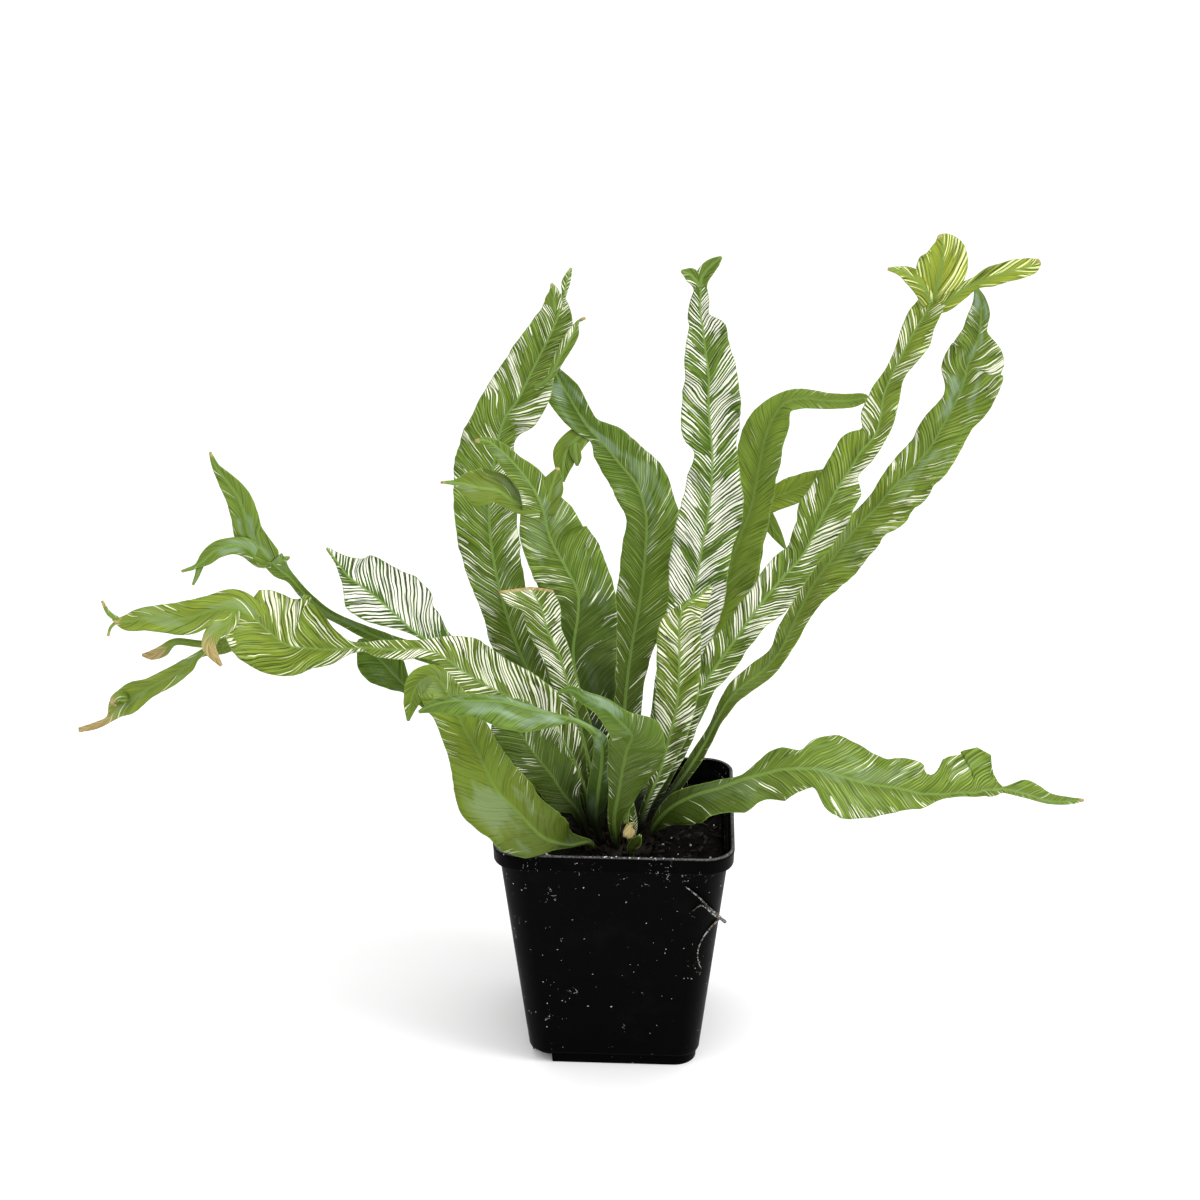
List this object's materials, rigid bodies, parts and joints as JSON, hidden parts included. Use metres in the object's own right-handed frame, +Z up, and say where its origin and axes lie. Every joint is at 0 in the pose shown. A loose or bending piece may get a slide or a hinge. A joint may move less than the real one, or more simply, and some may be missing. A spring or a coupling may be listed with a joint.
{
  "type": "potted variegated bird's nest fern",
  "caption": "Variegated bird's nest fern with narrow, waved, streaked fronds and forked tips in a square black nursery pot, standing on its flat foot.",
  "frame": {"origin": "middle of the pot's underside, on the flat pad between the drain holes, at the level of the surface it stands on", "axes": "+Z up, -Y towards the viewer of the picture, +X to that viewer's right, along the widest spread of the fronds"},
  "size_m": [0.4204, 0.1598, 0.3466],
  "materials": {
    "pot_plastic": "satin black, moulded",
    "potting_mix": "dark moist peat with perlite",
    "crown_scales": "dark brown, fibrous",
    "leaf_lightly_striped": "green with a few cream streaks, satin",
    "leaf_plain": "plain green, satin",
    "leaf_striped": "green with cream streaks, satin",
    "leaf_heavily_striped": "cream with green streaks, satin",
    "leaf_young": "pale, satin"
  },
  "bodies": {
    "root": {"pot": "pot_plastic", "soil": "potting_mix", "crown": "crown_scales", "frond_front_left_broad": "leaf_lightly_striped", "frond_front_centre_recurved": "leaf_lightly_striped", "frond_centre_tall_green": "leaf_lightly_striped", "frond_far_right_tall": "leaf_lightly_striped", "frond_right_horizontal": "leaf_lightly_striped", "frond_low_left_smooth": "leaf_plain", "frond_low_left_round": "leaf_plain", "frond_right_back_arching": "leaf_plain", "frond_right_back_small": "leaf_plain", "frond_front_left_striped": "leaf_striped", "frond_long_left_forked": "leaf_striped", "frond_left_crested": "leaf_striped", "frond_left_tall": "leaf_striped", "frond_centre_left_creased": "leaf_striped", "frond_left_white_striped": "leaf_heavily_striped", "frond_centre_small_striped": "leaf_heavily_striped", "frond_centre_tall_striped": "leaf_heavily_striped", "frond_right_long_striped": "leaf_heavily_striped", "frond_front_right_striped": "leaf_heavily_striped", "frond_young_folded": "leaf_young", "frond_young_tip": "leaf_young"}
  },
  "joints": []
}
